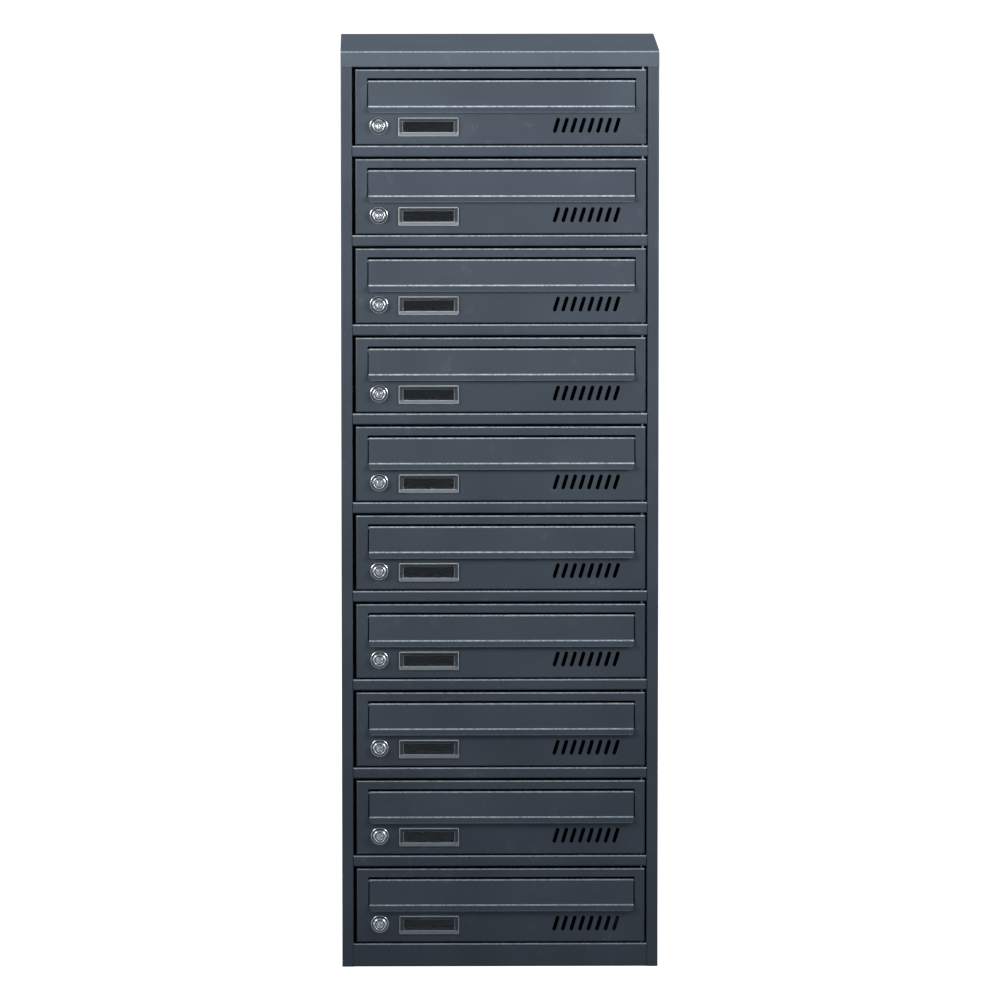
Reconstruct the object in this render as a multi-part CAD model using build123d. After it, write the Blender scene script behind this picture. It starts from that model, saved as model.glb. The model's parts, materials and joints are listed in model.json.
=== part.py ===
from build123d import *
from math import cos, radians, sin
import os

# Cluster mailbox unit: a folded sheet-steel cabinet with one column of mail compartments.
# Millimetres, +Z up, the doors face -Y, +X is to the right of someone facing the doors.
# The origin is on the ground, in the middle of the unit's width and overall depth.

os.makedirs("parts", exist_ok=True)

# Cabinet
width = 390.0
depth = 260.0
compartments = 10
pitch = 110.0
base_height = 29.0
rail_height = 13.4
cap_height = 19.4
post_width = 14.0
post_return = 12.0
rear_flange = 20.0
sheet = 1.0
bend = 2.0
seam = 0.3
rail_lip = 10.0
base_lip = 15.0
side_flange = 12.0

# Doors
door_recess = 1.7
door_gap_left = 4.0
door_gap_right = 2.0
door_gap_top = 3.3
door_gap_bottom = 1.5
door_depth = 10.0

# Door hinge pins
pin_diameter = 3.0
pin_from_edge = 4.0
pin_behind_face = 4.5
pin_shoulder = 1.0
pin_head = 1.0
pin_overlap = 2.5
running_clearance = 0.05

# Letter slot and flap
slot_height = 35.7
slot_from_top = 10.3
slot_margin_left = 14.5
slot_margin_right = 12.5
slot_hem = 7.0
flap_sheet = 0.8
flap_side_gap = 1.5
flap_lean = 6.4
flap_kink_above_slot = 1.2
flap_set_back = 0.7
flap_bend = 1.6
lip_length = 8.9
lip_angle = 34.0
lip_corner = 4.0
rod_diameter = 3.0
rod_below_slot_top = 5.5
rod_end = 1.0
curl_clearance = 0.1
curl_start = -60.0
ear_depth = 8.0
ear_height = 10.0

# Vents
vents = 8
vent_pitch = 10.56
vent_width = 4.6
vent_length = 19.3
vent_tilt = 17.0
vents_from_right = 72.8
vents_above_bottom = 23.4

# Cam lock
lock_from_left = 28.6
lock_above_bottom = 23.0
lock_reach = 8.0
lock_head_shoulder = 1.0
lock_head_round = 0.9
lock_flange_width = 2.0
lock_flange = 2.0
lock_flange_chamfer = 0.5
lock_groove = 0.7
lock_groove_depth = 1.4
barrel_diameter = 16.0
barrel_clearance = 0.2
plug_diameter = 10.0
plug_set_back = 0.4
plug_chamfer = 0.4
keyway_width = 1.5
keyway_height = 6.0
keyway_depth = 6.0
nut_wall = 2.5
nut_height = 4.0
cam_gap = 0.2
cam_engagement = 7.4
cam_width = 15.0
cam_thickness = 2.0
cam_behind_return = 1.2
drive_square = 6.5
screw_diameter = 9.0
screw_height = 2.5
screw_slot = 1.2

# Name holder
holder_from_left = 89.5
holder_above_bottom = 21.7
holder_width = 73.5
holder_height = 22.8
holder_proud = 3.0
holder_chamfer = 0.8
holder_corner = 1.5
holder_body_depth = 3.5
holder_wall = 1.8
holder_clearance = 0.2
card_window_width = 62.0
card_window_height = 13.0
card_bevel_side = 2.6
card_bevel_top = 2.2
pane = 1.0
pane_depth = 2.6
keeper_height = 4.0
keeper_thickness = 0.8
keeper_gap = 0.8
thumb_radius = 3.5

# Rivets
rivet_diameter = 3.2
rivet_shoulder = 1.6
rivet_head = 0.9
shelf_rivet_inset = 40.0
shelf_rivet_drop = 7.0

# Wall-fixing holes
wall_hole_diameter = 8.0
wall_hole_spacing = 300.0
wall_hole_drop = 20.0

# Derived places
height = base_height + compartments * pitch - rail_height + cap_height
opening_width = width - 2 * post_width
opening_height = pitch - rail_height
reach_past_front = lock_reach - door_recess
front = -(depth + reach_past_front) / 2 + reach_past_front
back = front + depth
door_face = front + door_recess
panel_front = back - 2 * sheet
middle = sheet / 2
rail_half = opening_width / 2 - seam
wall_inside = width / 2 - sheet
wing_front = front + post_return + 0.5

door_left = -opening_width / 2 + door_gap_left
door_right = opening_width / 2 - door_gap_right
door_width = door_right - door_left
door_bottom = door_gap_bottom
door_top = opening_height - door_gap_top
door_height = door_top - door_bottom

pin_x = door_right - pin_from_edge
pin_head_diameter = pin_diameter + 2 * pin_shoulder
pin_y = door_face + pin_behind_face

slot_left = door_left + slot_margin_left
slot_right = door_right - slot_margin_right
slot_top = door_top - slot_from_top
slot_bottom = slot_top - slot_height
curl_radius = rod_diameter / 2 + curl_clearance + flap_sheet / 2
rod_y = door_face + flap_set_back + curl_radius + flap_sheet / 2
rod_z = slot_top - rod_below_slot_top
flap_kink_drop = rod_z - slot_bottom - flap_kink_above_slot

lock_x = door_left + lock_from_left
lock_z = door_bottom + lock_above_bottom
holder_x = door_left + holder_from_left
holder_z = door_bottom + holder_above_bottom
vents_x = door_right - vents_from_right
vents_z = door_bottom + vents_above_bottom
cam_front = front + post_return + cam_behind_return
cam_length = door_gap_left + lock_from_left + cam_engagement
lock_head_diameter = barrel_diameter + 2 * lock_head_shoulder
lock_flange_diameter = lock_head_diameter + 2 * lock_flange_width
nut_across_flats = barrel_diameter + 2 * nut_wall
rivet_head_diameter = rivet_diameter + 2 * rivet_shoulder
holder_body_width = card_window_width + 2 * holder_wall
holder_body_height = card_window_height + 2 * holder_wall


def floor_z(number):
    """Top of the shelf plate under compartment number, 1 at the top."""
    return base_height + (compartments - number) * pitch


def facing(y):
    """Plane across the unit at depth y, with its normal towards the doors' side."""
    return Plane(origin=(0, y, 0), x_dir=(1, 0, 0), z_dir=(0, -1, 0))


def block(x0, x1, y0, y1, z0, z1):
    """Box between two corners."""
    size = Box(x1 - x0, y1 - y0, z1 - z0)
    return Pos((x0 + x1) / 2, (y0 + y1) / 2, (z0 + z1) / 2) * size


def upright(x, y, z0, z1, diameter):
    """Vertical round bar or hole."""
    return Pos(x, y, (z0 + z1) / 2) * Cylinder(diameter / 2, z1 - z0)


def across(x, z, y0, y1, diameter):
    """Round bar or hole that runs from front to back."""
    return Pos(x, (y0 + y1) / 2, z) * Rot(90, 0, 0) * Cylinder(diameter / 2, y1 - y0)


def folded_across(points, x0, x1):
    """Sheet folded along points (y, z) and as long as x0 to x1."""
    line = FilletPolyline(*points, radius=bend - middle)
    section = Plane.YZ.offset(x0) * trace(line, line_width=sheet)
    return extrude(section, amount=x1 - x0)


def folded_upright(points, z0, z1):
    """Sheet folded along points (x, y) and as tall as z0 to z1."""
    line = FilletPolyline(*points, radius=bend - middle)
    section = Plane.XY.offset(z0) * trace(line, line_width=sheet)
    return extrude(section, amount=z1 - z0)


def shelf_rivet_places():
    """Side, depth and height of every rivet that holds a shelf or the base."""
    places = []
    for number in range(1, compartments + 1):
        for side in (-1, 1):
            for y in (front + shelf_rivet_inset, back - shelf_rivet_inset):
                places.append((side, y, floor_z(number) - shelf_rivet_drop))
    return places


def back_rivet_places():
    """Width and height of every rivet that holds the back panel."""
    x = width / 2 - rear_flange / 2
    heights = [floor_z(n) + opening_height / 2 for n in range(1, compartments + 1)]
    return [(side * x, z) for side in (-1, 1) for z in heights]


def wall_hole_places():
    """Width and height of the four wall-fixing holes."""
    low = floor_z(compartments) + opening_height / 2 - wall_hole_drop
    high = floor_z(1) + opening_height / 2 - wall_hole_drop
    return [(side * wall_hole_spacing / 2, z) for side in (-1, 1) for z in (low, high)]


def left_side_panel():
    """Side wall with the front post, its return, and the rear and top flanges."""
    wall_x = -width / 2 + middle
    return_x = -opening_width / 2 - middle
    points = [
        (return_x, front + post_return),
        (return_x, front + middle),
        (wall_x, front + middle),
        (wall_x, back - middle),
        (-width / 2 + rear_flange, back - middle),
    ]
    panel = folded_upright(points, 0, height - sheet)
    post_top = height - cap_height - seam
    inner_x = -opening_width / 2 + sheet
    outer_x = -width / 2 - 1
    panel -= block(-wall_inside, inner_x, front - 1, wing_front, post_top, height)
    panel -= block(outer_x, inner_x, front - 1, front + sheet + seam, post_top, height)
    panel -= block(outer_x, inner_x, front - 1, front + bend, height - bend, height)
    rear_x = -width / 2 + rear_flange + 1
    panel -= block(outer_x, rear_x, back - sheet - seam, back + 1, post_top, height)
    panel -= block(outer_x, rear_x, back - bend, back + 1, height - bend, height)
    flange_y0 = wing_front
    flange_y1 = panel_front - seam
    tops = (height - 2 * sheet, height - sheet)
    panel += block(-wall_inside - middle, -wall_inside + side_flange, flange_y0, flange_y1, *tops)
    for side, y, z in shelf_rivet_places():
        if side < 0:
            spot = Pos(-width / 2, y, z) * Rot(0, 90, 0)
            panel -= spot * Cylinder(rivet_diameter / 2, 4 * sheet)
    for x, z in back_rivet_places():
        if x < 0:
            panel -= across(x, z, back - 2 * sheet, back + sheet, rivet_diameter)
    return panel


def top_panel():
    """Cap: plate, front and rear flanges, and the lip that holds the top door's pin."""
    front_y = front + middle
    back_y = back - middle
    low = height - cap_height
    skirt = [
        (front_y, low),
        (front_y, height - middle),
        (back_y, height - middle),
        (back_y, low),
    ]
    with_lip = [(front + rail_lip, low + middle), (front_y, low + middle)] + skirt[1:]
    panel = folded_across(with_lip, -rail_half, rail_half)
    panel += folded_across(skirt, -width / 2, -rail_half)
    panel += folded_across(skirt, rail_half, width / 2)
    return panel - upright(pin_x, pin_y, low - sheet, low + 2 * sheet, pin_diameter)


def shelf_blank(drop, lip):
    """Shelf with its top at z = 0: front rail with a lip, rear and side flanges."""
    rear_y = panel_front - middle
    points = [
        (front + lip, -drop + middle),
        (front + middle, -drop + middle),
        (front + middle, -middle),
        (rear_y, -middle),
        (rear_y, -side_flange),
    ]
    shelf = folded_across(points, -rail_half, rail_half)
    wing_back = panel_front - bend
    for side in (-1, 1):
        inner = side * (rail_half - 1)
        outer = side * wall_inside
        flange = side * (wall_inside - sheet)
        shelf += block(min(inner, outer), max(inner, outer), wing_front, wing_back, -sheet, 0)
        shelf += block(min(flange, outer), max(flange, outer), wing_front, wing_back, -side_flange, 0)
        for y in (front + shelf_rivet_inset, back - shelf_rivet_inset):
            spot = Pos(outer, y, -shelf_rivet_drop) * Rot(0, 90, 0)
            shelf -= spot * Cylinder(rivet_diameter / 2, 4 * sheet)
    return shelf


def base_panel():
    """Bottom plate with its front rail and foot lip on the ground."""
    panel = shelf_blank(base_height, base_lip)
    panel -= upright(pin_x, pin_y, -2 * sheet, sheet, pin_diameter)
    return Pos(0, 0, base_height) * panel


def shelves():
    """One shelf under each compartment but the lowest."""
    shelf = shelf_blank(rail_height, rail_lip)
    shelf -= upright(pin_x, pin_y, -rail_height - sheet, sheet, pin_diameter)
    return [Pos(0, 0, floor_z(n)) * shelf for n in range(1, compartments)]


def back_panel():
    """Flat back inside the rear flanges, with the wall-fixing holes."""
    half = width / 2 - bend - seam
    panel = block(-half, half, panel_front, panel_front + sheet, seam, height - bend - seam)
    for x, z in wall_hole_places():
        panel -= across(x, z, panel_front - sheet, back, wall_hole_diameter)
    for x, z in back_rivet_places():
        panel -= across(x, z, panel_front - sheet, back, rivet_diameter)
    return panel


def rivet(shank):
    """Rivet along +Z: dome head above z = 0, shank below."""
    head = Pos(0, 0, rivet_head / 2) * Cylinder(rivet_head_diameter / 2, rivet_head)
    head = fillet(head.edges().sort_by(Axis.Z)[-1], rivet_head * 0.8)
    return head + Pos(0, 0, -shank / 2) * Cylinder(rivet_diameter / 2, shank)


def shelf_rivets():
    """Rivets through the side walls, heads inside the shelf flanges."""
    one = rivet(2 * sheet)
    x = wall_inside - sheet
    return [Pos(side * x, y, z) * Rot(0, -90 * side, 0) * one for side, y, z in shelf_rivet_places()]


def back_panel_rivets():
    """Rivets through the rear flanges, heads inside the back panel."""
    one = Rot(90, 0, 0) * rivet(2 * sheet)
    return [Pos(x, panel_front, z) * one for x, z in back_rivet_places()]


def door_hinge_pins():
    """Headed pins, one up and one down for each door."""
    pins = []
    lip = opening_height
    reach = sheet + pin_overlap
    upper = upright(pin_x, pin_y, door_top - reach, lip + sheet, pin_diameter)
    upper += upright(pin_x, pin_y, lip + sheet, lip + sheet + pin_head, pin_head_diameter)
    lower = upright(pin_x, pin_y, -sheet, door_bottom + reach, pin_diameter)
    lower += upright(pin_x, pin_y, -sheet - pin_head, -sheet, pin_head_diameter)
    for number in range(1, compartments + 1):
        for pin in (upper, lower):
            pins.append(Pos(0, 0, floor_z(number)) * pin)
    return pins


def rounded_front_block(inset, radius):
    """Block of the door's outline, set in by inset, with its front edges rounded."""
    body = block(
        door_left + inset,
        door_right - inset,
        door_face + inset,
        door_face + door_depth + inset,
        door_bottom + inset,
        door_top - inset,
    )
    return fillet(body.faces().sort_by(Axis.Y)[0].edges(), radius)


def vent_cuts():
    """Row of leaning slots with round ends."""
    lean = 90 - vent_tilt
    one = Rot(0, 0, lean) * SlotOverall(vent_length, vent_width)
    first = vents_x - (vents - 1) * vent_pitch / 2
    row = [Pos(first + n * vent_pitch, vents_z) * one for n in range(vents)]
    return extrude(facing(door_face + middle) * Sketch(children=row), amount=sheet, both=True)


def door():
    """Folded door pan with the letter slot, rod ears, vents and the lock and holder cuts."""
    pan = rounded_front_block(0, bend) - rounded_front_block(sheet, bend - sheet)
    pan -= block(slot_left, slot_right, door_face - 1, door_face + bend, slot_bottom, slot_top)
    hem_back = door_face + slot_hem
    pan += block(slot_left, slot_right, door_face, hem_back, slot_bottom - sheet, slot_bottom)
    ear_back = door_face + ear_depth
    ear = (door_face + middle, ear_back, rod_z - ear_height / 2, rod_z + ear_height / 2)
    pan += block(slot_left - sheet, slot_left, *ear)
    pan += block(slot_right, slot_right + sheet, *ear)
    rod_hole = rod_diameter + 2 * running_clearance
    middle_x = (slot_left + slot_right) / 2
    span = slot_right - slot_left + 4 * sheet
    pan -= Pos(middle_x, rod_y, rod_z) * Rot(0, 90, 0) * Cylinder(rod_hole / 2, span)
    pin_hole = pin_diameter + 2 * running_clearance
    pan -= upright(pin_x, pin_y, door_bottom - 1, door_bottom + bend, pin_hole)
    pan -= upright(pin_x, pin_y, door_top - bend, door_top + 1, pin_hole)
    lock_hole = barrel_diameter + 2 * barrel_clearance
    pan -= across(lock_x, lock_z, door_face - 1, door_face + bend, lock_hole)
    window_x = holder_body_width / 2 + holder_clearance
    window_z = holder_body_height / 2 + holder_clearance
    across_window = (holder_x - window_x, holder_x + window_x)
    up_window = (holder_z - window_z, holder_z + window_z)
    pan -= block(*across_window, door_face - 1, door_face + bend, *up_window)
    return pan - vent_cuts()


def flap():
    """Letter flap curled round its rod, with an outward lip along the bottom."""
    curl = CenterArc((0, 0), curl_radius, curl_start, 180 - flap_lean - curl_start)
    top = curl @ 1
    run = (flap_kink_drop + top.Y) / cos(radians(flap_lean))
    kink_y = top.X - run * sin(radians(flap_lean))
    kink_z = -flap_kink_drop
    tip_y = kink_y - lip_length * sin(radians(lip_angle))
    tip_z = kink_z - lip_length * cos(radians(lip_angle))
    leaf_line = FilletPolyline(top, (kink_y, kink_z), (tip_y, tip_z), radius=flap_bend)
    x0 = slot_left + flap_side_gap
    x1 = slot_right - flap_side_gap
    section = Plane.YZ.offset(x0) * trace(curl + leaf_line, line_width=flap_sheet)
    leaf = extrude(section, amount=x1 - x0)
    tip_face = leaf.faces().sort_by(Axis.Z)[0]
    corners = tip_face.edges().sort_by(SortBy.LENGTH)[:2]
    leaf = Pos(0, rod_y, rod_z) * fillet(corners, lip_corner)
    rod_length = slot_right - slot_left + 2 * (sheet + rod_end)
    rod = Cylinder(rod_diameter / 2, rod_length)
    return [leaf, Pos((x0 + x1) / 2, rod_y, rod_z) * Rot(0, 90, 0) * rod]


def lock_body():
    """Lock housing with its flange and barrel, and the nut behind the door."""
    head = across(lock_x, lock_z, door_face - lock_reach, door_face, lock_head_diameter)
    head = fillet(head.edges().group_by(Axis.Y)[0], lock_head_round)
    ring = across(lock_x, lock_z, door_face - lock_flange, door_face, lock_flange_diameter)
    ring = chamfer(ring.edges().group_by(Axis.Y)[0], lock_flange_chamfer)
    groove = lock_head_diameter + 2 * lock_groove
    groove_back = door_face - lock_flange + lock_groove_depth
    ring -= across(lock_x, lock_z, door_face - lock_flange, groove_back, groove)
    barrel_end = cam_front - cam_gap
    barrel = across(lock_x, lock_z, door_face, barrel_end, barrel_diameter)
    bore = plug_diameter + 2 * running_clearance
    housing = head + ring + barrel
    housing -= across(lock_x, lock_z, door_face - lock_reach - 1, barrel_end + 1, bore)
    nut_front = door_face + sheet
    hexagon = RegularPolygon(nut_across_flats / 2, 6, major_radius=False)
    nut_place = facing(nut_front) * Pos(lock_x, lock_z)
    nut = extrude(nut_place * hexagon, amount=-nut_height)
    nut -= across(lock_x, lock_z, nut_front, nut_front + nut_height, barrel_diameter)
    return [housing, nut]


def lock_plug():
    """Key plug, the cam on its square end, and the screw that holds the cam."""
    plug_face = door_face - lock_reach + plug_set_back
    plug = across(lock_x, lock_z, plug_face, cam_front, plug_diameter)
    plug = chamfer(plug.edges().group_by(Axis.Y)[0], plug_chamfer)
    half = keyway_width / 2
    key_x = (lock_x - half, lock_x + half)
    key_z = (lock_z - keyway_height / 2, lock_z + keyway_height / 2)
    plug -= block(*key_x, plug_face - 1, plug_face + keyway_depth, *key_z)
    cam_back = cam_front + cam_thickness
    side = drive_square / 2
    drive_x = (lock_x - side, lock_x + side)
    drive_z = (lock_z - side, lock_z + side)
    plug += block(*drive_x, cam_front, cam_back, *drive_z)
    hub = Pos(lock_x, lock_z) * Circle(cam_width / 2)
    tip = Pos(lock_x, lock_z + cam_length - cam_width / 2) * Circle(cam_width / 2)
    arm = Pos(lock_x, lock_z + (cam_length - cam_width / 2) / 2)
    arm *= Rectangle(cam_width, cam_length - cam_width / 2)
    outline = hub + tip + arm - Pos(lock_x, lock_z) * Rectangle(drive_square, drive_square)
    cam = extrude(facing(cam_front) * outline, amount=-cam_thickness)
    screw_back = cam_back + screw_height
    screw = across(lock_x, lock_z, cam_back, screw_back, screw_diameter)
    for turn in (0, 90):
        cut = Rot(0, turn, 0) * Box(screw_slot, screw_slot * 2, screw_diameter * 0.6)
        screw -= Pos(lock_x, screw_back, lock_z) * cut
    return [plug, cam, screw]


def name_holder():
    """Clear name holder: bezel, bevelled window, pane, and the keeper with a thumb notch."""
    face = door_face - holder_proud
    bezel = facing(door_face) * Pos(holder_x, holder_z)
    bezel *= RectangleRounded(holder_width, holder_height, holder_corner)
    holder = extrude(bezel, amount=holder_proud)
    holder = chamfer(holder.faces().sort_by(Axis.Y)[0].edges(), holder_chamfer)
    body = facing(door_face) * Pos(holder_x, holder_z)
    body *= Rectangle(holder_body_width, holder_body_height)
    holder += extrude(body, amount=-holder_body_depth)
    wide = Rectangle(card_window_width + 2 * card_bevel_side, card_window_height + 2 * card_bevel_top)
    small = Rectangle(card_window_width, card_window_height)
    spot = Pos(holder_x, holder_z)
    holder -= loft([facing(face) * spot * wide, facing(face + pane_depth) * spot * small])
    pocket = extrude(facing(face + pane_depth + pane) * spot * small, amount=-holder_body_depth * 2)
    holder -= pocket
    keeper_back = face + pane_depth - keeper_gap
    keeper_front = keeper_back - keeper_thickness
    half = card_window_width / 2 + card_bevel_side / 2
    low = holder_z - card_window_height / 2 - card_bevel_top / 2
    high = holder_z - card_window_height / 2 + keeper_height
    keeper = block(holder_x - half, holder_x + half, keeper_front, keeper_back, low, high)
    keeper -= across(holder_x, high, keeper_front - 1, keeper_back + 1, 2 * thumb_radius)
    return holder + keeper


def write(name, pieces, lift=0.0):
    """Write one node: a solid or a list of separate solids, raised by lift."""
    if isinstance(pieces, list):
        pieces = Compound(children=[Pos(0, 0, lift) * piece for piece in pieces])
    else:
        pieces = Pos(0, 0, lift) * pieces
    export_step(pieces, f"parts/{name}.step")


side = left_side_panel()
write("left_side_panel", side)
write("right_side_panel", mirror(side, about=Plane.YZ))
write("top_panel", top_panel())
write("base_panel", base_panel())
write("back_panel", back_panel())
write("shelves", shelves())
write("shelf_rivets", shelf_rivets())
write("back_panel_rivets", back_panel_rivets())
write("door_hinge_pins", door_hinge_pins())

compartment_parts = {
    "door": door(),
    "flap": flap(),
    "lock_body": lock_body(),
    "lock_plug": lock_plug(),
    "name_holder": name_holder(),
}
for number in range(1, compartments + 1):
    for name, pieces in compartment_parts.items():
        write(f"{name}_{number:02d}", pieces, floor_z(number))
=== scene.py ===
import json
import math

import bmesh
import bpy
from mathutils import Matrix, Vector


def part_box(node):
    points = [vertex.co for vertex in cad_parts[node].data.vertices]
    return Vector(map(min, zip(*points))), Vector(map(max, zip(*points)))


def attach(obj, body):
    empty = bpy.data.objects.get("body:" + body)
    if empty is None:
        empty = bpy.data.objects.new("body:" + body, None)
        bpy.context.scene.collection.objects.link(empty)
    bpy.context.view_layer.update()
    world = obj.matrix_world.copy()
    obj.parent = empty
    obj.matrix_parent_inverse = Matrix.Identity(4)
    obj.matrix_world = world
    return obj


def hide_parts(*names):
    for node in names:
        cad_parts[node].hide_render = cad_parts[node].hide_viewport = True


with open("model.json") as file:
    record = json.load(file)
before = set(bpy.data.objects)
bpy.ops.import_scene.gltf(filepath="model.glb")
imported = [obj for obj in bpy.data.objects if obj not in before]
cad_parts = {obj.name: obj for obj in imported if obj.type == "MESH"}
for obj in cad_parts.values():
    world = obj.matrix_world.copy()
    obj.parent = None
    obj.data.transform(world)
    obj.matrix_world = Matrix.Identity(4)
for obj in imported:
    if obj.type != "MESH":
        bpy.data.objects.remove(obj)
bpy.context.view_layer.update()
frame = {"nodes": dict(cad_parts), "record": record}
print("frame loaded:", len(frame["nodes"]), "nodes")


def linear(hexColour):
    shades = [int(hexColour[i:i + 2], 16) / 255 for i in (1, 3, 5)]
    return (*(c / 12.92 if c <= 0.04045 else ((c + 0.055) / 1.055) ** 2.4 for c in shades), 1.0)


def addNode(tree, kind, settings=None, values=None, links=None):
    node = tree.nodes.new(kind)
    for name, value in (settings or {}).items():
        setattr(node, name, value)
    for name, value in (values or {}).items():
        node.inputs[name].default_value = value
    for name, socket in (links or {}).items():
        tree.links.new(socket, node.inputs[name])
    return node


def calc(tree, operation, *values):
    node = addNode(tree, "ShaderNodeMath", {"operation": operation})
    for socket, value in zip(node.inputs, values):
        if isinstance(value, (int, float)):
            socket.default_value = value
        else:
            tree.links.new(value, socket)
    return node.outputs[0]


def noise(tree, sizeMm, detail, roughness=0.5):
    where = addNode(tree, "ShaderNodeTexCoord").outputs["Object"]
    return addNode(tree, "ShaderNodeTexNoise", values={
        "Scale": 1000 / sizeMm, "Detail": detail, "Roughness": roughness}, links={"Vector": where}).outputs["Fac"]


def ranged(tree, value, fromLow, fromHigh, toLow, toHigh):
    return addNode(tree, "ShaderNodeMapRange", values={
        "From Min": fromLow, "From Max": fromHigh, "To Min": toLow, "To Max": toHigh},
        links={"Value": value}).outputs["Result"]


def mixed(tree, share, first, second):
    node = addNode(tree, "ShaderNodeMix", {"data_type": "RGBA"}, links={"Factor": share})
    for name, colour in (("A", first), ("B", second)):
        if isinstance(colour, str):
            node.inputs[name].default_value = linear(colour)
        else:
            tree.links.new(colour, node.inputs[name])
    return node.outputs["Result"]


def stored(tree, name, output="Fac"):
    return addNode(tree, "ShaderNodeAttribute", {"attribute_name": name}).outputs[output]


def newMaterial(name):
    material = bpy.data.materials.new(name)
    material.use_nodes = True
    material.node_tree.nodes.clear()
    return material, material.node_tree


# Powder coat: polyester powder baked on steel, which leaves a satin skin with a fine orange-peel grain.
# The real grain is finer, drawn here coarse enough to show. Bends that face up and forward get a painted
# highlight, a lighter broken line.
powder = {
    "colour": "#454C55", "dust": "#6A767F", "worn": "#CBD4DB",
    "paleToneShare": 0.4, "cloudMm": 111.1, "cloudShare": 0.22,
    "roughness": 0.42, "specular": 0.3,
    "grainMm": 1.6, "peelMm": 7.0, "grainHeight": 0.00009,
    "chipMm": 3.0, "wholeShare": 0.35,
    "rubMm": 26.0, "speckMm": 1.1, "rubShare": 0.22,
}


def powderCoat():
    material, tree = newMaterial("powderCoatAnthracite")
    grain = noise(tree, powder["grainMm"], 2.0, 0.6)
    cloud = ranged(tree, noise(tree, powder["cloudMm"], 4.0), 0.35, 0.75, 0.0, powder["cloudShare"])
    # Paler tone all over the cap's front face, and mixed in at random elsewhere as a faint cloud
    paleToneMix = calc(tree, "MULTIPLY_ADD", stored(tree, "dust"), powder["paleToneShare"], cloud)
    broken = ranged(tree, noise(tree, powder["chipMm"], 3.0), 0.3, 0.62, powder["wholeShare"], 1.0)
    # Painted highlight on the marked bends, broken by random chips; the random rub specks below take the same
    # pale colour
    worn = calc(tree, "MULTIPLY", stored(tree, "edge"), broken)
    patch = ranged(tree, noise(tree, powder["rubMm"], 2.0), 0.62, 0.8, 0.0, 1.0)
    speck = ranged(tree, noise(tree, powder["speckMm"], 2.0), 0.5, 0.7, 0.0, powder["rubShare"])
    light = calc(tree, "MAXIMUM", worn, calc(tree, "MULTIPLY", patch, speck))
    coat = mixed(tree, light, mixed(tree, paleToneMix, powder["colour"], powder["dust"]), powder["worn"])
    rough = ranged(tree, grain, 0.0, 1.0, powder["roughness"] - 0.07, powder["roughness"] + 0.09)
    relief = calc(tree, "ADD", grain, noise(tree, powder["peelMm"], 1.0))
    bump = addNode(tree, "ShaderNodeBump", values={
        "Strength": 0.5, "Distance": powder["grainHeight"]}, links={"Height": relief})
    surface = addNode(tree, "ShaderNodeBsdfPrincipled",
                      values={"IOR": 1.5, "Specular IOR Level": powder["specular"]},
                      links={"Base Color": coat, "Roughness": rough, "Normal": bump.outputs["Normal"]})
    addNode(tree, "ShaderNodeOutputMaterial", links={"Surface": surface.outputs["BSDF"]})
    return material


# Nickel-chrome plate on a zinc casting: bright, with fine key scratches; its recess ring and the gap round the
# key plug get painted shade, near black and dull
chrome = {"colour": "#DCDEDF", "roughness": 0.14, "scratchMm": 0.9, "grime": "#0B0C0E", "recessShadeRoughness": 0.6}


def nickelChrome():
    material, tree = newMaterial("nickelChromePlate")
    scratch = noise(tree, chrome["scratchMm"], 3.0)
    rough = ranged(tree, scratch, 0.0, 1.0, chrome["roughness"] - 0.06, chrome["roughness"] + 0.12)
    # Painted shade: marked recesses lose their metal and turn near black
    grime = stored(tree, "grime")
    dull = calc(tree, "MAXIMUM", rough, calc(tree, "MULTIPLY", grime, chrome["recessShadeRoughness"]))
    surface = addNode(tree, "ShaderNodeBsdfPrincipled", links={
        "Base Color": mixed(tree, grime, chrome["colour"], chrome["grime"]),
        "Metallic": calc(tree, "SUBTRACT", 1.0, grime), "Roughness": dull})
    addNode(tree, "ShaderNodeOutputMaterial", links={"Surface": surface.outputs["BSDF"]})
    return material


# Zinc plate on the hinge pins: dull grey metal with a patchy sheen
zinc = {"colour": "#85898B", "patchMm": 1.667, "smoothest": 0.4, "roughest": 0.6}


def zincPlate():
    material, tree = newMaterial("zincPlatedSteel")
    rough = ranged(tree, noise(tree, zinc["patchMm"], 2.0), 0.0, 1.0, zinc["smoothest"], zinc["roughest"])
    surface = addNode(tree, "ShaderNodeBsdfPrincipled", values={
        "Base Color": linear(zinc["colour"]), "Metallic": 1.0}, links={"Roughness": rough})
    addNode(tree, "ShaderNodeOutputMaterial", links={"Surface": surface.outputs["BSDF"]})
    return material


# Polycarbonate holder, moulded: a clear pane in a frame, with painted highlights as pale bands along the frame's
# outer and inner edges and across its foot
holder = {"halfWidthMm": 36.75, "halfHeightMm": 11.4, "paneWidthMm": 31.0, "paneHeightMm": 6.5, "edgeMm": 0.8,
          "frost": "#E2E8EC", "clear": "#909BAA", "outerShare": 0.85, "innerShare": 0.22, "footShare": 0.3,
          "bodyShare": 0.1}


def borderDistance(tree, across, up, halfWidth, halfHeight):
    sideways = calc(tree, "SUBTRACT", across, halfWidth / 1000)
    upward = calc(tree, "SUBTRACT", up, halfHeight / 1000)
    return calc(tree, "MAXIMUM", sideways, upward)


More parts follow.
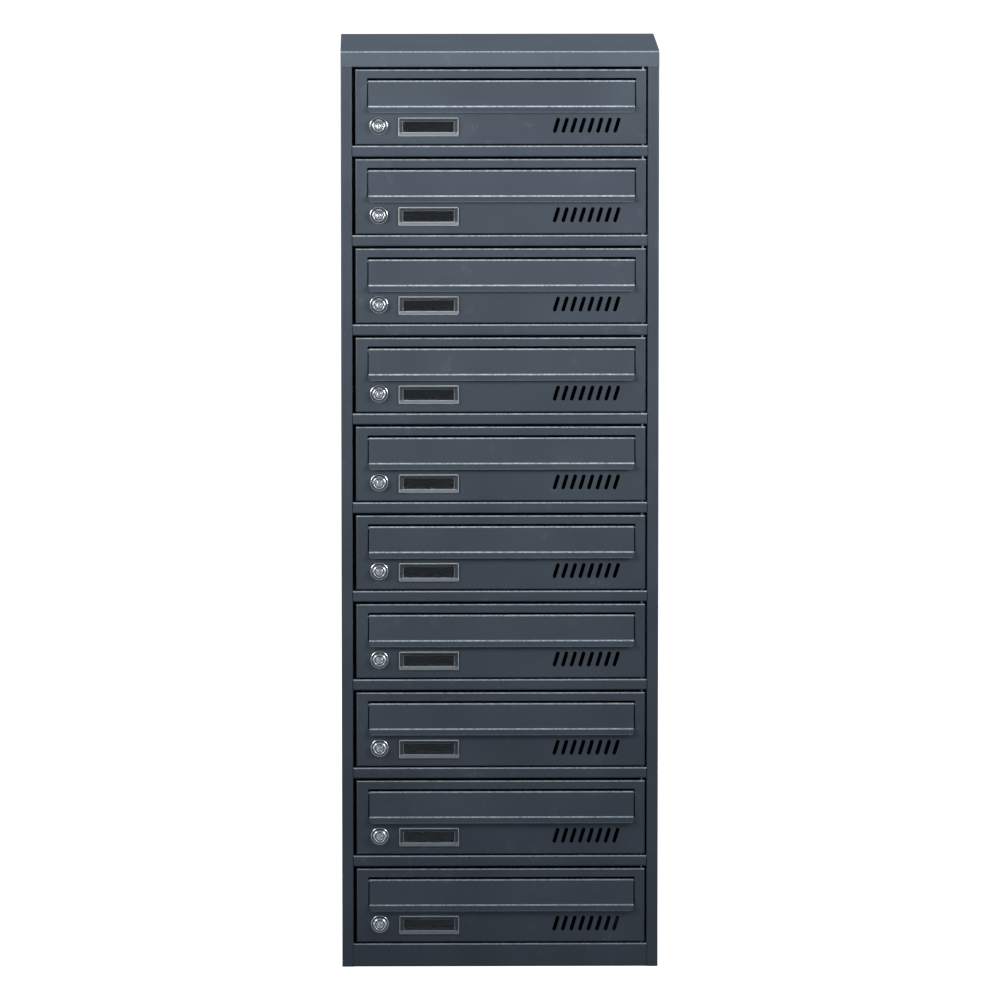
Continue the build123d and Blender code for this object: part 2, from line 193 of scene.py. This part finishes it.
def clearPlastic():
    material, tree = newMaterial("clearPolycarbonate")
    parts = addNode(tree, "ShaderNodeSeparateXYZ", links={"Vector": stored(tree, "spot", "Vector")})
    across = calc(tree, "ABSOLUTE", parts.outputs["X"])
    up = calc(tree, "ABSOLUTE", parts.outputs["Z"])
    outer = borderDistance(tree, across, up, holder["halfWidthMm"], holder["halfHeightMm"])
    inner = borderDistance(tree, across, up, holder["paneWidthMm"], holder["paneHeightMm"])
    edge = holder["edgeMm"] / 1000
    # Painted highlight: pale bands at the frame's edges and foot, over a faint pale tone on the whole frame
    outerLine = calc(tree, "MULTIPLY", calc(tree, "GREATER_THAN", outer, -edge), holder["outerShare"])
    innerLine = calc(tree, "MULTIPLY", calc(tree, "LESS_THAN", inner, edge), holder["innerShare"])
    rim = calc(tree, "GREATER_THAN", inner, 0.0)
    foot = calc(tree, "LESS_THAN", parts.outputs["Z"], -holder["paneHeightMm"] / 1000)
    body = calc(tree, "MULTIPLY_ADD", foot, holder["footShare"], holder["bodyShare"])
    frost = calc(tree, "MULTIPLY", rim, calc(tree, "ADD", calc(tree, "ADD", outerLine, innerLine), body))
    clear = addNode(tree, "ShaderNodeBsdfPrincipled", values={
        "Base Color": linear(holder["clear"]), "IOR": 1.4, "Roughness": 0.0, "Transmission Weight": 1.0})
    edgeHighlightSurface = addNode(tree, "ShaderNodeBsdfPrincipled", values={
        "Base Color": linear(holder["frost"]), "IOR": 1.58, "Roughness": 0.3, "Transmission Weight": 0.15})
    mix = addNode(tree, "ShaderNodeMixShader", links={0: frost, 1: clear.outputs[0], 2: edgeHighlightSurface.outputs[0]})
    addNode(tree, "ShaderNodeOutputMaterial", links={"Surface": mix.outputs[0]})
    return material


def storeSpot(mesh, centre):
    spots = mesh.attributes.new("spot", "FLOAT_VECTOR", "POINT")
    values = []
    for vertex in mesh.vertices:
        values.extend(vertex.co - centre)
    spots.data.foreach_set("vector", values)


finishes = {
    "powder_coat": powderCoat(),
    "chrome": nickelChrome(),
    "zinc_steel": zincPlate(),
    "clear_plastic": clearPlastic(),
}
slotOfNode = {part["node"]: part["material_slot"] for part in frame["record"]["subparts"]}
for name, node in frame["nodes"].items():
    node.data.materials.clear()
    node.data.materials.append(finishes[slotOfNode[name]])
print("finishes ready")


# Sheet steel is cut and folded: a copy of each CAD solid gets its cut edges eased
sheetWork = {"easeMm": 0.22, "fineEaseMm": 0.12, "easeSteps": 2, "sharpDeg": 40.0, "turnedDeg": 28.0,
             "mergeDistance": 2e-6, "flatDeg": 0.4}


def addToScene(piece):
    bpy.context.scene.collection.objects.link(piece)
    return piece


def finishMesh(piece):
    evaluated = piece.evaluated_get(bpy.context.evaluated_depsgraph_get())
    final = bpy.data.meshes.new_from_object(evaluated)
    piece.modifiers.clear()
    piece.data = final
    return piece


def easedCopy(node, name, easeMm, cuts=()):
    source = frame["nodes"][node].data
    mesh = bpy.data.meshes.new(name)
    mesh.from_pydata([v.co.copy() for v in source.vertices], [], [tuple(p.vertices) for p in source.polygons])
    shape = bmesh.new()
    shape.from_mesh(mesh)
    bmesh.ops.remove_doubles(shape, verts=shape.verts, dist=sheetWork["mergeDistance"])
    flat = math.radians(sheetWork["flatDeg"])
    bmesh.ops.dissolve_limit(shape, angle_limit=flat, verts=shape.verts, edges=shape.edges)
    for axis, value in cuts:
        everything = [*shape.verts, *shape.edges, *shape.faces]
        normal = Vector([float(i == axis) for i in range(3)])
        bmesh.ops.bisect_plane(shape, geom=everything, plane_co=normal * value, plane_no=normal)
    shape.to_mesh(mesh)
    shape.free()
    mesh.shade_smooth()
    piece = addToScene(bpy.data.objects.new(name, mesh))
    ease = piece.modifiers.new("ease", "BEVEL")
    ease.width = easeMm / 1000
    ease.segments = sheetWork["easeSteps"]
    ease.limit_method = "ANGLE"
    ease.angle_limit = math.radians(sheetWork["sharpDeg"])
    piece.modifiers.new("flatFaces", "WEIGHTED_NORMAL").weight = 100
    return finishMesh(piece)


def smoothStep(low, high, value):
    t = min(max((value - low) / (high - low), 0.0), 1.0)
    return t * t * (3 - 2 * t)


# Bends that face up and forward catch the light: they get a painted highlight
def bendShare(vertex):
    return smoothStep(0.22, 0.45, vertex.normal.z) * smoothStep(0.2, 0.45, -vertex.normal.y)


def store(mesh, name, valueOf):
    marks = mesh.attributes.new(name, "FLOAT", "POINT")
    marks.data.foreach_set("value", [valueOf(vertex) for vertex in mesh.vertices])


def movedCopy(piece, name, lift):
    mesh = piece.data.copy()
    for vertex in mesh.vertices:
        vertex.co.z += lift
    return addToScene(bpy.data.objects.new(name, mesh))


def turned(name, profile, centre, sides=72, radiusAt=None):
    corners, faces = [], []
    for radius, out in profile:
        for i in range(sides):
            angle = 2 * math.pi * i / sides
            reach = radiusAt(angle) if radiusAt and radius is None else radius
            corners.append((centre.x + reach * math.cos(angle) / 1000, centre.y - out / 1000,
                            centre.z + reach * math.sin(angle) / 1000))
    rings = len(profile)
    for ring in range(rings):
        after = (ring + 1) % rings
        for i in range(sides):
            j = (i + 1) % sides
            faces.append((ring * sides + i, ring * sides + j, after * sides + j, after * sides + i))
    mesh = bpy.data.meshes.new(name)
    mesh.from_pydata(corners, [], faces)
    shape = bmesh.new()
    shape.from_mesh(mesh)
    bmesh.ops.recalc_face_normals(shape, faces=shape.faces)
    shape.to_mesh(mesh)
    shape.free()
    mesh.shade_smooth()
    mesh.set_sharp_from_angle(angle=math.radians(sheetWork["turnedDeg"]))
    return addToScene(bpy.data.objects.new(name, mesh))


def joined(first, second):
    shape = bmesh.new()
    shape.from_mesh(first.data)
    shape.from_mesh(second.data)
    shape.to_mesh(first.data)
    shape.free()
    bpy.data.objects.remove(second)
    first.data.set_sharp_from_angle(angle=math.radians(sheetWork["turnedDeg"]))
    return first


# Lock: flange, dark recess, and a head with turned rings round the key plug.
# Each pair in a profile is a radius and how far it stands out of the door, in mm.
lock = {
    "reachMm": 8.0, "nutFrontMm": -1.0, "nutBackMm": -5.0, "nutFlatsMm": 21.0, "nutBoreMm": 8.02,
    "barrelMm": 8.0, "boreMm": 5.05,
    "front": [(5.05, 6.8), (5.35, 7.0), (6.1, 7.9), (6.3, 8.0), (7.0, 8.0), (7.2, 7.9), (8.45, 6.9),
              (8.6, 6.5), (8.6, 0.3), (9.6, 0.3), (9.6, 1.7), (9.85, 2.0), (10.5, 2.0), (10.85, 1.8),
              (11.0, 1.4), (11.0, 0.0), (8.0, 0.0)],
    "recess": (8.5, 9.65), "plugGapMm": 5.4,
    "plugRing": [(2.6, 8.2), (2.6, 7.45), (3.1, 7.0), (3.9, 7.1), (4.3, 7.45), (4.3, 8.2)],
}


def lockBody(name):
    low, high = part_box("lock_body_01")
    centre = Vector(((low.x + high.x) / 2, low.y + lock["reachMm"] / 1000, (low.z + high.z) / 2))
    end = (centre.y - high.y) * 1000
    body = turned(name, lock["front"] + [(lock["barrelMm"], end), (lock["boreMm"], end)], centre)

    def hexagon(angle):
        return lock["nutFlatsMm"] / 2 / math.cos((angle % (math.pi / 3)) - math.pi / 6)

    front, back, bore = lock["nutFrontMm"], lock["nutBackMm"], lock["nutBoreMm"]
    nut = turned("nut", [(bore, front), (None, front), (None, back), (bore, back)], centre, radiusAt=hexagon)
    body = joined(body, nut)
    inner, outer = lock["recess"]

    # Painted shade: the recess ring behind the head and the gap round the key plug are marked near black
    def dark(vertex):
        radius = math.hypot(vertex.co.x - centre.x, vertex.co.z - centre.z) * 1000
        out = (centre.y - vertex.co.y) * 1000
        return float(inner < radius < outer and 0.1 < out < 1.0 or radius < lock["plugGapMm"])

    store(body.data, "grime", dark)
    return body, centre


def lockPlug(name, centre):
    plug = easedCopy("lock_plug_01", name, sheetWork["fineEaseMm"])
    cutter = turned("plugRing", lock["plugRing"], centre)
    cut = plug.modifiers.new("ring", "BOOLEAN")
    cut.operation = "DIFFERENCE"
    cut.solver = "EXACT"
    cut.object = cutter
    finishMesh(plug)
    bpy.data.objects.remove(cutter)
    plug.data.set_sharp_from_angle(angle=math.radians(sheetWork["turnedDeg"]))
    return plug


def hang(piece, body, node, slotName):
    piece.data.materials.clear()
    piece.data.materials.append(finishes[slotName])
    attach(piece, body)
    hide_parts(node)


# The cap's front face is drawn a paler shade than the doors
def paleCapFront(vertex):
    return float(vertex.normal.y < -0.5)


# The plinth meets the posts tightly, so no light shows through the joint
seam = {"halfWidthMm": 180.7, "nearMm": 0.6, "depthMm": 3.0, "widenMm": 0.28}


def closeSeam(mesh):
    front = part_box("base_panel")[0].y + seam["depthMm"] / 1000
    for vertex in mesh.vertices:
        if abs(abs(vertex.co.x) - seam["halfWidthMm"] / 1000) < seam["nearMm"] / 1000 and vertex.co.y < front:
            vertex.co.x += math.copysign(seam["widenMm"] / 1000, vertex.co.x)


def joinWords(label):
    first, *others = label.split("_")
    return first + "".join(word.capitalize() for word in others)


for node in ("left_side_panel", "right_side_panel", "top_panel", "base_panel", "back_panel", "shelves"):
    panel = easedCopy(node, joinWords(node), sheetWork["easeMm"])
    # Painted highlight on the up- and forward-facing bends
    store(panel.data, "edge", bendShare)
    if node == "top_panel":
        store(panel.data, "dust", paleCapFront)
    if node == "base_panel":
        closeSeam(panel.data)
    hang(panel, "cabinet", node, "powder_coat")
print("cabinet sheets eased")

# Compartment pieces are alike, so each is made once and copied up the column
count = sum(name.startswith("door_") and name[-2:].isdigit() for name in frame["nodes"])
floorOf = [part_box(f"door_{n:02d}")[0].z for n in range(1, count + 1)]
flap = {"kinkDropMm": 31.6, "kinkBandMm": 0.7, "curlBandMm": 2.6, "tipBandMm": 1.1, "tipShare": 0.16,
        "leafLeftMm": -161.05}
flapLow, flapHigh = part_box("flap_01")
flapKink = flapHigh.z - flap["kinkDropMm"] / 1000
flapLeft = flap["leafLeftMm"] / 1000
kinkBand = flap["kinkBandMm"] / 1000
bands = [flapKink + kinkBand, flapKink - kinkBand,
         flapLow.z + flap["tipBandMm"] / 1000, flapHigh.z - flap["curlBandMm"] / 1000]
# Each band is cut twice, so its edge mark fades over this width and not over the whole face
fade = 0.0002
hair = 0.00005
flapCuts = [(2, height) for height in bands]
flapCuts += [(2, height + shift) for height, shift in zip(bands, (fade, -fade, fade, -fade))]
flapCuts += [(0, flapLeft), (0, flapLeft + fade)]


# Painted highlight on the flap: full on the kink line and the leaf's left end, faint along the lip's lower edge,
# and on the up-facing part of the top curl
def flapShare(vertex):
    spot, normal = vertex.co, vertex.normal
    if spot.x < flapLeft + 2 * hair:
        return 1.0
    if abs(spot.z - flapKink) < kinkBand + hair:
        return 1.0 if normal.y < 0 else 0.0
    if spot.z < bands[2] + hair:
        return flap["tipShare"] if normal.y < 0.2 else 0.0
    return bendShare(vertex) if spot.z > bands[3] - hair else 0.0


kinds = {
    "door": ("door", "powder_coat", sheetWork["easeMm"]),
    "flap": ("flap", "powder_coat", sheetWork["fineEaseMm"]),
    "lock_body": ("door", "chrome", sheetWork["fineEaseMm"]),
    "lock_plug": ("lock", "chrome", sheetWork["fineEaseMm"]),
    "name_holder": ("door", "clear_plastic", sheetWork["easeMm"]),
}
for kind, (body, slotName, easeMm) in kinds.items():
    plain = joinWords(kind)
    if kind == "lock_body":
        first, lockCentre = lockBody("lockBody01")
    elif kind == "lock_plug":
        first = lockPlug("lockPlug01", lockCentre)
    else:
        first = easedCopy(f"{kind}_01", f"{plain}01", easeMm, flapCuts if kind == "flap" else ())
    # Painted highlight marks on the bends of doors and flaps
    if slotName == "powder_coat":
        store(first.data, "edge", flapShare if kind == "flap" else bendShare)
    if kind == "name_holder":
        low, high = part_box("name_holder_01")
        storeSpot(first.data, (low + high) / 2)
    for n in range(1, count + 1):
        lift = floorOf[n - 1] - floorOf[0]
        piece = first if n == 1 else movedCopy(first, f"{plain}{n:02d}", lift)
        hang(piece, f"{body}_{n:02d}", f"{kind}_{n:02d}", slotName)
    print(kind, "made", count, "times, vertices:", len(first.data.vertices))


# Blind rivets: domed heads inside the cabinet, shanks through both sheets
rivet = {"headMm": 3.2, "domeMm": 0.9, "shankMm": 1.6, "gripMm": 2.0, "inHead": 0.1, "sides": 48,
         "rings": 24, "sharpDeg": 40.0}


def rivetTree():
    tree = bpy.data.node_groups.new("rivets", "GeometryNodeTree")
    tree.interface.new_socket("Places", in_out="INPUT", socket_type="NodeSocketGeometry")
    for label in ("Head Radius", "Dome Height", "Shank Radius", "Grip"):
        tree.interface.new_socket(label, in_out="INPUT", socket_type="NodeSocketFloat")
    tree.interface.new_socket("Finish", in_out="INPUT", socket_type="NodeSocketMaterial")
    tree.interface.new_socket("Rivets", in_out="OUTPUT", socket_type="NodeSocketGeometry")
    given = addNode(tree, "NodeGroupInput").outputs
    ball = addNode(tree, "GeometryNodeMeshUVSphere", values={
        "Segments": rivet["sides"], "Rings": rivet["rings"]}, links={"Radius": given["Head Radius"]})
    position = addNode(tree, "GeometryNodeInputPosition").outputs[0]
    spot = addNode(tree, "ShaderNodeSeparateXYZ", links={"Vector": position})
    flatness = calc(tree, "DIVIDE", given["Dome Height"], given["Head Radius"])
    raised = calc(tree, "MULTIPLY", calc(tree, "MAXIMUM", spot.outputs["Z"], 0.0), flatness)
    domed = addNode(tree, "ShaderNodeCombineXYZ", links={
        "X": spot.outputs["X"], "Y": spot.outputs["Y"], "Z": raised})
    head = addNode(tree, "GeometryNodeSetPosition", links={
        "Geometry": ball.outputs["Mesh"], "Position": domed.outputs[0]})
    shank = addNode(tree, "GeometryNodeMeshCylinder", values={"Vertices": rivet["sides"]}, links={
        "Radius": given["Shank Radius"], "Depth": calc(tree, "MULTIPLY", given["Grip"], 1 + rivet["inHead"])})
    middle = calc(tree, "MULTIPLY", given["Grip"], (rivet["inHead"] - 1) / 2)
    drop = addNode(tree, "ShaderNodeCombineXYZ", links={"Z": middle})
    lowered = addNode(tree, "GeometryNodeTransform", links={
        "Geometry": shank.outputs["Mesh"], "Translation": drop.outputs[0]})
    whole = addNode(tree, "GeometryNodeJoinGeometry")
    for part in (head, lowered):
        tree.links.new(part.outputs["Geometry"], whole.inputs[0])
    turn = addNode(tree, "GeometryNodeInputNamedAttribute", {"data_type": "FLOAT_VECTOR"}, {"Name": "turn"})
    spread = addNode(tree, "GeometryNodeInstanceOnPoints", links={
        "Points": given["Places"], "Instance": whole.outputs[0], "Rotation": turn.outputs["Attribute"]})
    real = addNode(tree, "GeometryNodeRealizeInstances", links={"Geometry": spread.outputs[0]})
    coated = addNode(tree, "GeometryNodeSetMaterial", links={
        "Geometry": real.outputs[0], "Material": given["Finish"]})
    addNode(tree, "NodeGroupOutput", links={"Rivets": coated.outputs[0]})
    return tree


def rivets(tree, name, node, places):
    mesh = bpy.data.meshes.new(name)
    mesh.from_pydata([spot for spot, turn in places], [], [])
    turns = mesh.attributes.new("turn", "FLOAT_VECTOR", "POINT")
    turns.data.foreach_set("vector", [angle for spot, turn in places for angle in turn])
    piece = addToScene(bpy.data.objects.new(name, mesh))
    array = piece.modifiers.new("rivets", "NODES")
    array.node_group = tree
    sizes = {"Head Radius": rivet["headMm"] / 1000, "Dome Height": rivet["domeMm"] / 1000,
             "Shank Radius": rivet["shankMm"] / 1000, "Grip": rivet["gripMm"] / 1000,
             "Finish": finishes["powder_coat"]}
    for item in tree.interface.items_tree:
        if item.in_out == "INPUT" and item.name in sizes:
            array[item.identifier] = sizes[item.name]
    finishMesh(piece)
    piece.data.shade_smooth()
    piece.data.set_sharp_from_angle(angle=math.radians(rivet["sharpDeg"]))
    hang(piece, "cabinet", node, "powder_coat")


headReach, grip = rivet["headMm"] / 1000, rivet["gripMm"] / 1000


def levels(low, high):
    bottom, top = low.z + headReach, high.z - headReach
    return [bottom + (top - bottom) * i / (count - 1) for i in range(count)]


tree = rivetTree()
low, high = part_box("shelf_rivets")
rivets(tree, "shelfRivets", "shelf_rivets", [
    ((side * (high.x - grip), y, z), (0.0, -side * math.pi / 2, 0.0))
    for side in (-1, 1) for y in (low.y + headReach, high.y - headReach) for z in levels(low, high)])
low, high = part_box("back_panel_rivets")
rivets(tree, "backPanelRivets", "back_panel_rivets", [
    ((side * (high.x - headReach), high.y - grip, z), (math.pi / 2, 0.0, 0.0))
    for side in (-1, 1) for z in levels(low, high)])
print("rivets set")


# Studio: lights in front and behind, a pale floor, and a sky that is bright near the horizon
studio = {
    "floorColour": "#F4F4F4", "floorGlow": 1.15, "floorSize": 60.0,
    "sideSize": (0.6, 0.7), "sidePlace": (1.1, -1.1, 1.22), "sideAim": (0.0, -0.13, 1.2), "sidePower": 4.3,
    "sideSpread": 94.0,
    "rearSize": (1.2, 0.4), "rearPlace": (1.9, 1.5, 0.85), "rearAim": (0.0, 0.1, 0.6), "rearPower": 16.0,
    "topSize": (1.6, 0.5), "topPlace": (0.0, -0.8, 2.7), "topAim": (0.0, -0.05, 0.9), "topPower": 1.4,
    "sky": ((0.0, "#5B5E60"), (0.36, "#6F7376"), (0.44, "#9DA2A6"), (0.48, "#C9CED3"), (0.5, "#C6D6E6"),
            (0.56, "#C9DDF2"), (0.8, "#5F6468"), (1.0, "#595C5F")),
    "skyOnMatt": 0.75,
}


def areaLight(name, size, spot, aim, power, spread=180.0):
    data = bpy.data.lights.new(name, "AREA")
    data.shape = "RECTANGLE"
    data.size, data.size_y = size
    data.energy = power
    data.spread = math.radians(spread)
    light = addToScene(bpy.data.objects.new(name, data))
    light.location = spot
    light.rotation_euler = (Vector(aim) - Vector(spot)).to_track_quat("-Z", "Y").to_euler()
    light.visible_camera = False


for side, name in ((-1, "Left"), (1, "Right")):
    x, y, z = studio["sidePlace"]
    areaLight("front" + name, studio["sideSize"], (side * x, y, z), studio["sideAim"], studio["sidePower"],
              studio["sideSpread"])
    x, y, z = studio["rearPlace"]
    areaLight("rear" + name, studio["rearSize"], (side * x, y, z), studio["rearAim"], studio["rearPower"])
areaLight("topLight", studio["topSize"], studio["topPlace"], studio["topAim"], studio["topPower"])


def paleFloor():
    material, tree = newMaterial("studioFloor")
    surface = addNode(tree, "ShaderNodeBsdfPrincipled", values={
        "Base Color": linear(studio["floorColour"]), "Roughness": 0.8,
        "Emission Color": linear(studio["floorColour"]), "Emission Strength": studio["floorGlow"]})
    addNode(tree, "ShaderNodeOutputMaterial", links={"Surface": surface.outputs["BSDF"]})
    half = studio["floorSize"] / 2
    mesh = bpy.data.meshes.new("floor")
    mesh.from_pydata([(-half, -half, 0), (half, -half, 0), (half, half, 0), (-half, half, 0)], [], [(0, 1, 2, 3)])
    mesh.materials.append(material)
    floor = addToScene(bpy.data.objects.new("floor", mesh))
    # A white ground for the picture only, which puts no light or reflection on the cabinet
    floor.visible_diffuse = False
    floor.visible_glossy = False


# The camera sees plain white; the cabinet is lit by the ramp, weaker on matt surfaces
def sky():
    world = bpy.data.worlds.new("studioWorld")
    bpy.context.scene.world = world
    world.use_nodes = True
    tree = world.node_tree
    tree.nodes.clear()
    way = addNode(tree, "ShaderNodeTexCoord").outputs["Generated"]
    parts = addNode(tree, "ShaderNodeSeparateXYZ", links={"Vector": way})
    share = calc(tree, "MULTIPLY_ADD", parts.outputs["Z"], 0.5, 0.5)
    ramp = addNode(tree, "ShaderNodeValToRGB", links={"Fac": share})
    stops = ramp.color_ramp.elements
    while len(stops) < len(studio["sky"]):
        stops.new(0.5)
    for stop, (position, shade) in zip(stops, studio["sky"]):
        stop.position = position
        stop.color = linear(shade)
    path = addNode(tree, "ShaderNodeLightPath")
    strength = calc(tree, "MULTIPLY_ADD", path.outputs["Is Diffuse Ray"], studio["skyOnMatt"] - 1, 1.0)
    soft = addNode(tree, "ShaderNodeBackground", links={"Color": ramp.outputs["Color"], "Strength": strength})
    white = addNode(tree, "ShaderNodeBackground", values={"Color": (1, 1, 1, 1)})
    mix = addNode(tree, "ShaderNodeMixShader", links={
        0: path.outputs["Is Camera Ray"], 1: soft.outputs[0], 2: white.outputs[0]})
    addNode(tree, "ShaderNodeOutputWorld", links={"Surface": mix.outputs[0]})


paleFloor()
sky()

# Camera: far away with a long lens, a little left of the middle and above the cap
camera = {"place": (-0.16, -12.12685, 2.1559), "yaw": 0.764, "pitch": 7.472, "lens": 354.5}


def makeCamera():
    data = bpy.data.cameras.new("camera")
    data.lens = camera["lens"]
    data.sensor_width = 36.0
    data.clip_end = 100.0
    eye = addToScene(bpy.data.objects.new("camera", data))
    eye.location = camera["place"]
    eye.rotation_euler = (math.radians(90 - camera["pitch"]), 0, math.radians(-camera["yaw"]))
    bpy.context.scene.camera = eye


makeCamera()
bpy.context.scene.view_settings.view_transform = "Standard"
print("studio ready")
